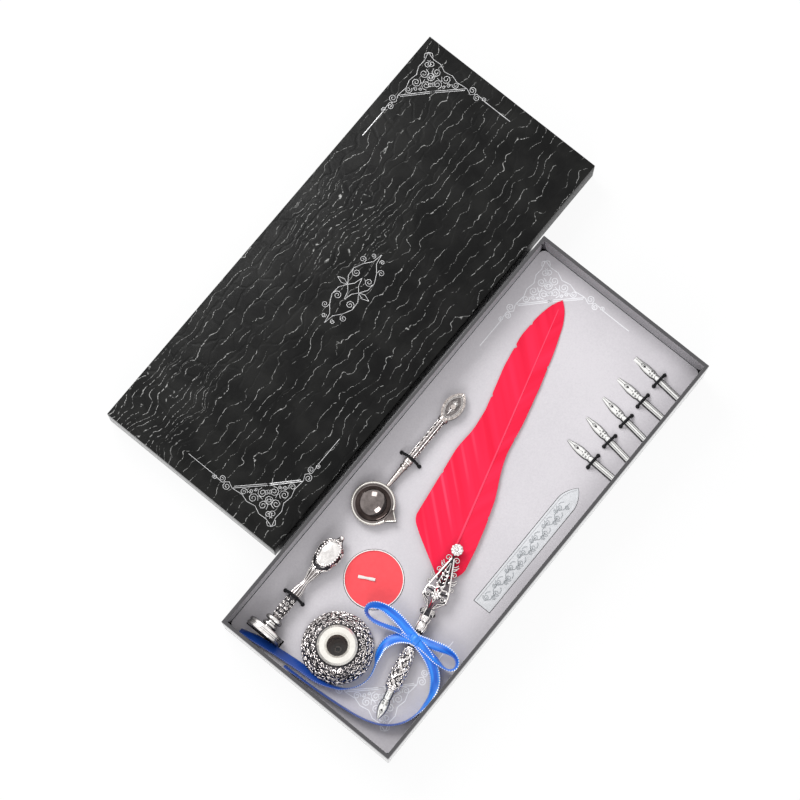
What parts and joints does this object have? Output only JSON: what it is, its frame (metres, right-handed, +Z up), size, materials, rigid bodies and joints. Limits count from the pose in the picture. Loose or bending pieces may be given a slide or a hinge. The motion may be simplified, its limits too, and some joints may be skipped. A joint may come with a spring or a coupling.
{
  "type": "quill pen gift set",
  "caption": "Lidded paper gift box with a moulded insert holding a feather pen, ink pot, melting spoon, seal stamp, tea light, wax stick and spare nibs.",
  "frame": {"origin": "middle of the tray's underside, where it stands on the table", "axes": "+X along the tray towards the feather's tip, +Y across it towards the lid laid beside it, +Z up"},
  "size_m": [0.3795, 0.2765, 0.035],
  "materials": {
    "board": "matte",
    "box_paper": "gloss",
    "foam": "matte",
    "insert_paper": "matte",
    "elastic": "matte",
    "nib_steel": "polished",
    "old_silver": "satin",
    "bright_silver": "polished",
    "nickel": "polished",
    "quill": "satin",
    "feather": "matte",
    "ribbon": "satin",
    "well_lining": "gloss",
    "cup_metal": "satin",
    "candle_wax": "satin",
    "wick": "matte",
    "stick_wax": "satin"
  },
  "bodies": {
    "tray": {"tray_board": "board", "tray_wrap": "box_paper", "insert_foam": "foam", "insert_card": "insert_paper", "spoon_elastic": "elastic", "stamp_elastic": "elastic", "nib_elastics": "elastic"},
    "lid": {"lid_board": "board", "lid_wrap": "box_paper"},
    "pen": {"pen_ferrule": "nib_steel", "pen_grip": "old_silver", "pen_filigree": "old_silver", "pen_rosette": "old_silver", "feather_quill": "quill", "feather_vane": "feather", "ribbon_knot": "ribbon", "ribbon_tail_left": "ribbon", "ribbon_tail_right": "ribbon", "ribbon_loop_left": "ribbon", "ribbon_loop_right": "ribbon"},
    "pen_point": {"pen_nib": "nib_steel"},
    "ink_pot": {"ink_pot_body": "old_silver", "ink_pot_collar": "bright_silver", "ink_pot_well": "well_lining"},
    "spoon": {"spoon_bowl": "nickel", "spoon_handle": "old_silver"},
    "stamp": {"seal_stud": "nib_steel", "seal_handle": "old_silver"},
    "seal": {"seal_head": "nickel"},
    "candle": {"candle_cup": "cup_metal", "candle_wax": "candle_wax", "candle_wick": "wick", "wick_tab": "cup_metal"},
    "wax": {"wax_stick": "stick_wax"},
    "nib_1": {"spare_nib_1": "nib_steel"},
    "nib_2": {"spare_nib_2": "nib_steel"},
    "nib_3": {"spare_nib_3": "nib_steel"},
    "nib_4": {"spare_nib_4": "nib_steel"},
    "nib_5": {"spare_nib_5": "nib_steel"}
  },
  "joints": [
    {"name": "lid_lift", "type": "slide", "parent": "tray", "child": "lid", "axis": [0, 0, 1], "range_m": [0, 0.06]},
    {"name": "pen_lift", "type": "slide", "parent": "tray", "child": "pen", "axis": [0, 0, 1], "range_m": [0, 0.045]},
    {"name": "pen_nib_pull", "type": "slide", "parent": "pen", "child": "pen_point", "axis": [-0.9701, -0.2428, 0], "range_m": [0, 0.01], "deforming": ["ribbon_tail_right"]},
    {"name": "ink_pot_lift", "type": "slide", "parent": "tray", "child": "ink_pot", "axis": [0, 0, 1], "range_m": [0, 0.045]},
    {"name": "spoon_lift", "type": "slide", "parent": "tray", "child": "spoon", "axis": [0, 0, 1], "range_m": [0, 0.045], "deforming": ["spoon_elastic"]},
    {"name": "stamp_lift", "type": "slide", "parent": "tray", "child": "stamp", "axis": [0, 0, 1], "range_m": [0, 0.045], "deforming": ["stamp_elastic"]},
    {"name": "seal_unscrew", "type": "hinge", "parent": "stamp", "child": "seal", "pos_m": [-0.1352, 0.0438, 0.0221], "axis": [-1, 0, 0], "range_deg": [0, 720]},
    {"name": "candle_lift", "type": "slide", "parent": "tray", "child": "candle", "axis": [0, 0, 1], "range_m": [0, 0.045], "deforming": ["ribbon_loop_left"]},
    {"name": "wax_stick_lift", "type": "slide", "parent": "tray", "child": "wax", "axis": [0, 0, 1], "range_m": [0, 0.045]},
    {"name": "spare_nib_1_pull", "type": "slide", "parent": "tray", "child": "nib_1", "axis": [0.0906, 0.9959, 0], "range_m": [0, 0.019]},
    {"name": "spare_nib_2_pull", "type": "slide", "parent": "tray", "child": "nib_2", "axis": [0.0576, 0.9983, 0], "range_m": [0, 0.019]},
    {"name": "spare_nib_3_pull", "type": "slide", "parent": "tray", "child": "nib_3", "axis": [0.1219, 0.9925, 0], "range_m": [0, 0.019]},
    {"name": "spare_nib_4_pull", "type": "slide", "parent": "tray", "child": "nib_4", "axis": [0.1323, 0.9912, 0], "range_m": [0, 0.019]},
    {"name": "spare_nib_5_pull", "type": "slide", "parent": "tray", "child": "nib_5", "axis": [0.0366, 0.9993, 0], "range_m": [0, 0.019]}
  ]
}
